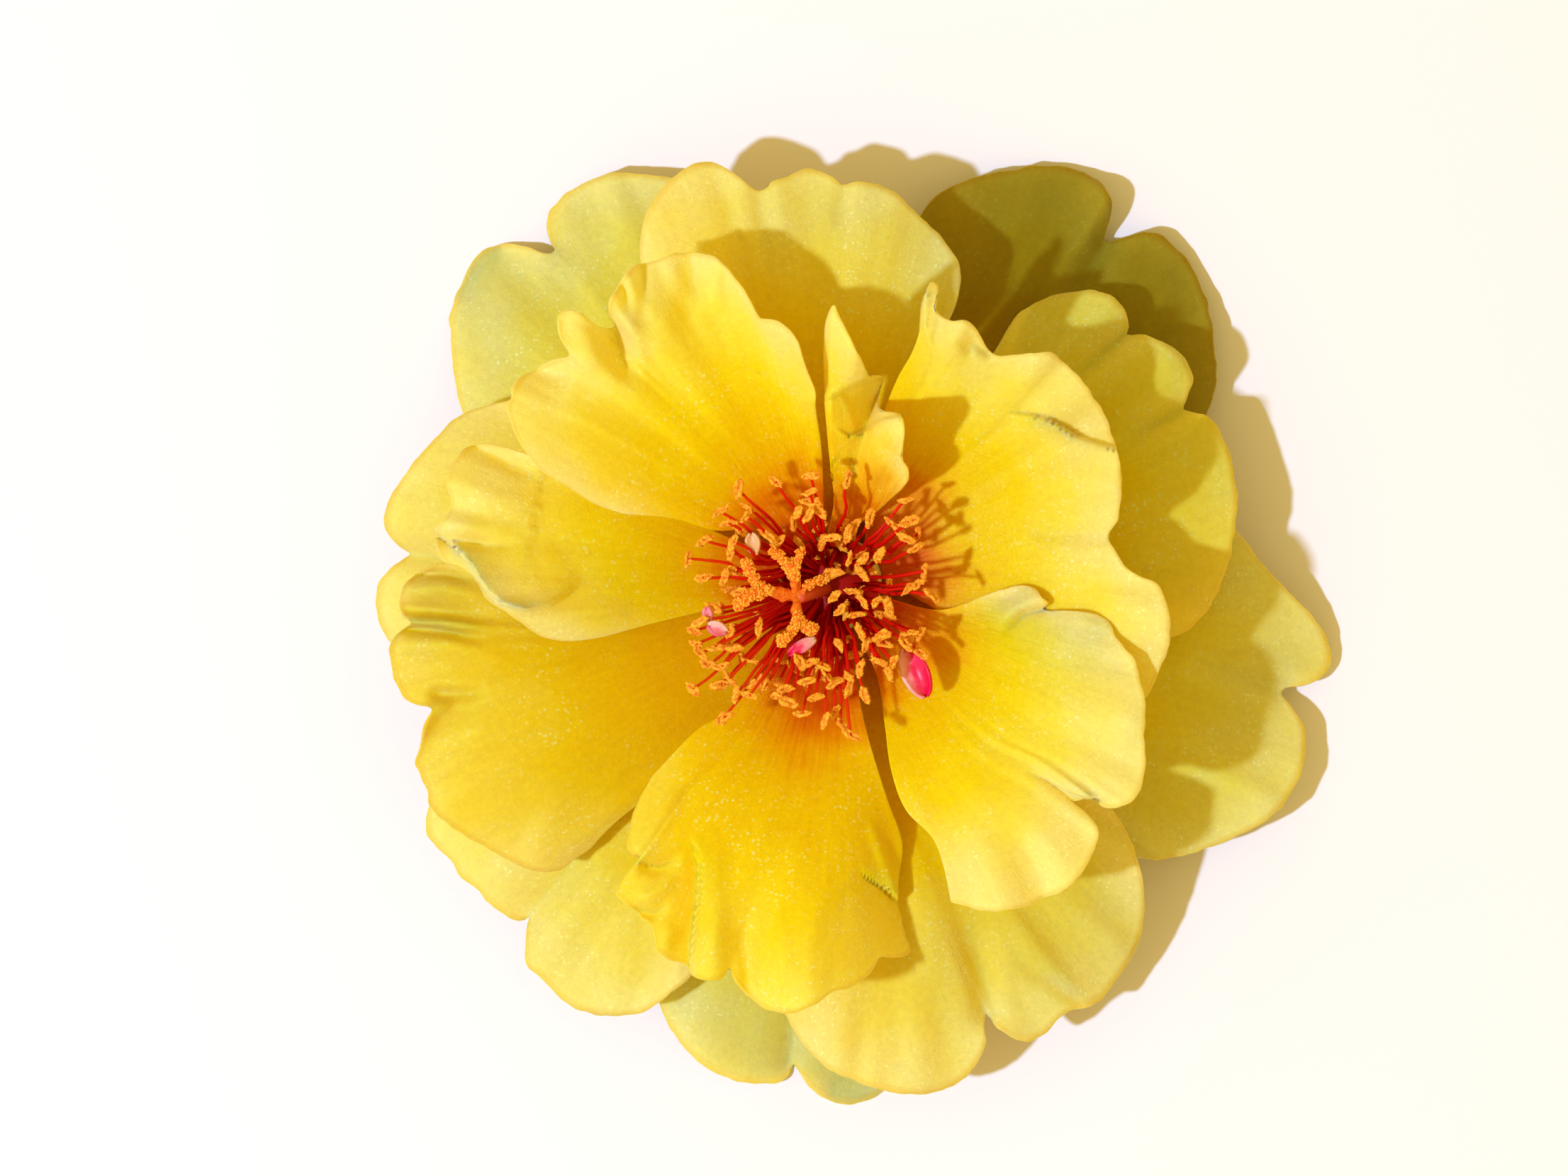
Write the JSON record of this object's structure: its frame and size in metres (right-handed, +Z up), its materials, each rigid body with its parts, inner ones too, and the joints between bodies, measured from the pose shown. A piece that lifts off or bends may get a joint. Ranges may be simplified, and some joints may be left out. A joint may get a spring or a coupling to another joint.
{
  "type": "double portulaca bloom",
  "caption": "Open double yellow portulaca bloom with notched, waved petals in layers, red stalked stamens and orange anthers, lying face up.",
  "frame": {"origin": "centre of the flat scar on the bloom's base, where it was picked from its stem", "axes": "+Z up out of the open bloom, +X and +Y along the surface that it lies on"},
  "size_m": [0.0599, 0.0592, 0.0208],
  "materials": {
    "outer_petals": "satin, thin and silky, slightly see-through petal",
    "inner_petals": "satin, thin and silky, orange towards the foot",
    "green_tissue": "smooth fleshy green tissue",
    "stamens": "smooth red stalks with matt orange anthers",
    "pollen": "matt, covered in orange pollen"
  },
  "bodies": {
    "root": {"outer_petal_1": "outer_petals", "outer_petal_2": "outer_petals", "outer_petal_3": "outer_petals", "outer_petal_4": "outer_petals", "outer_petal_5": "outer_petals", "outer_petal_6": "outer_petals", "outer_petal_7": "outer_petals", "outer_petal_8": "outer_petals", "outer_petal_9": "outer_petals", "inner_petal_1": "inner_petals", "inner_petal_2": "inner_petals", "inner_petal_3": "inner_petals", "inner_petal_4": "inner_petals", "inner_petal_5": "inner_petals", "inner_petal_6": "inner_petals", "twisted_petal": "inner_petals", "receptacle": "green_tissue", "calyx": "green_tissue", "stamens": "stamens", "pistil": "pollen"}
  },
  "joints": []
}
